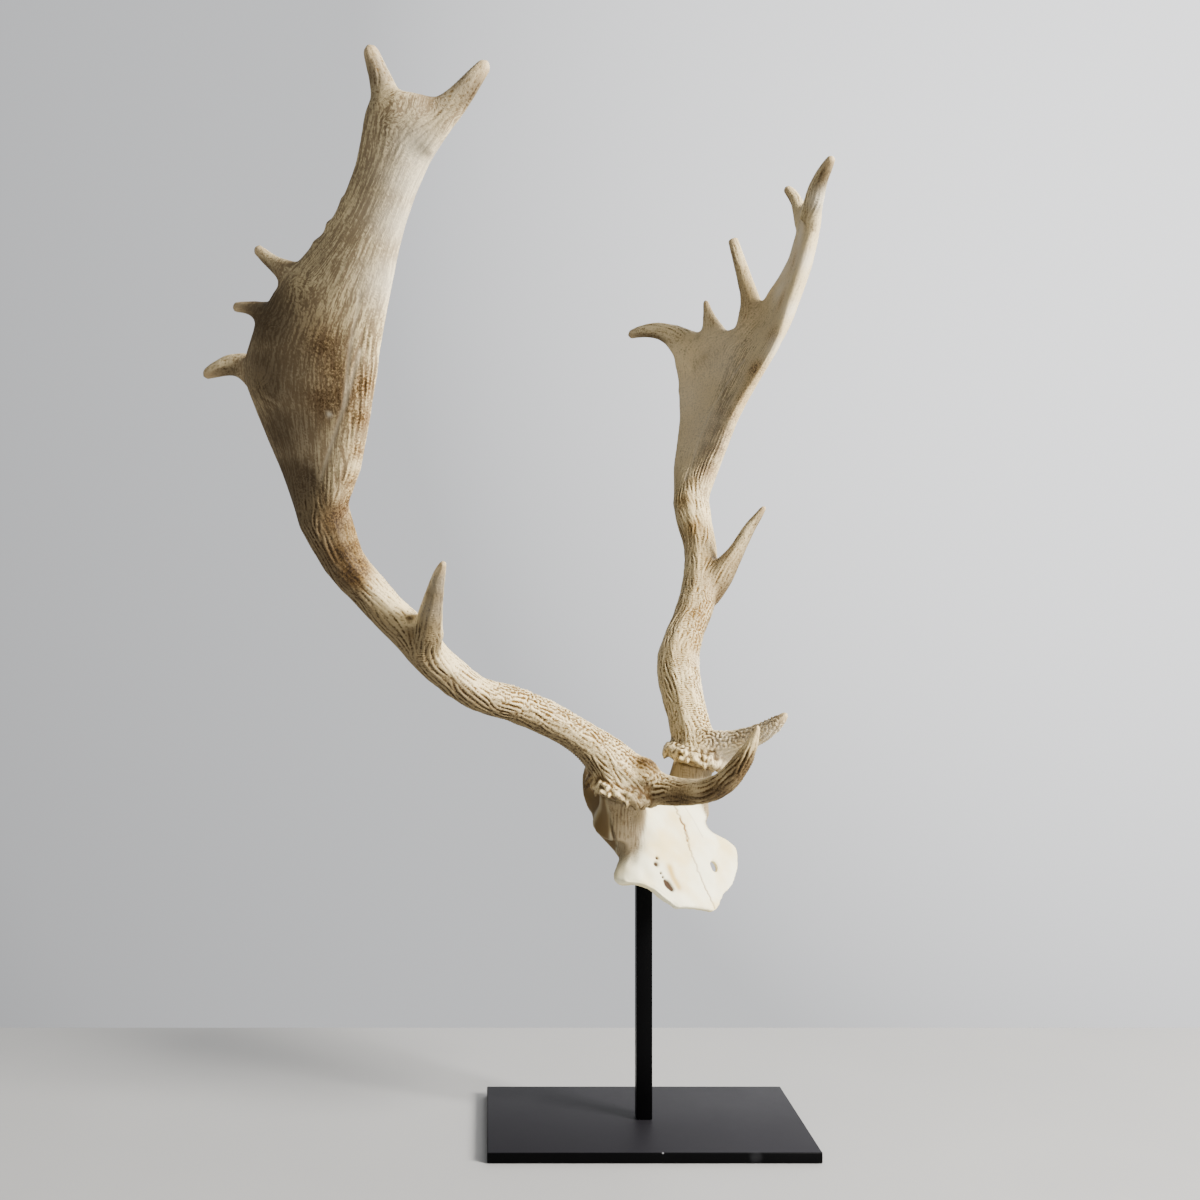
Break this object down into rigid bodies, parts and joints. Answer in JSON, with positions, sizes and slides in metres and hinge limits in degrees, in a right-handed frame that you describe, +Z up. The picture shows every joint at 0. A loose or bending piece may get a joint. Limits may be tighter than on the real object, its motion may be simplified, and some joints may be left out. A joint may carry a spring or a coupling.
{
  "type": "fallow deer antlers on stand",
  "caption": "Pair of palmate fallow deer antlers on their skull cap, held up by a square steel post on a flat rectangular base plate.",
  "frame": {"origin": "centre of the base plate's underside, on the surface it stands on", "axes": "+Z up along the post, +X and +Y along the plate's long and short edges; the deer looks towards +X and -Y"},
  "size_m": [0.4571, 0.4906, 0.7599],
  "materials": {
    "satin_black": "fine satin black powder coat",
    "bone": "smooth cleaned bone, faintly striated",
    "antler": "ridged antler, ivory crests over brown grooves"
  },
  "bodies": {
    "root": {"base_plate": "satin_black", "post": "satin_black", "skull_cap": "bone", "right_beam": "antler", "right_palm": "antler", "right_trez_tine": "antler", "right_brow_tine": "antler", "left_beam": "antler", "left_palm": "antler", "left_trez_tine": "antler", "left_brow_tine": "antler"}
  },
  "joints": []
}
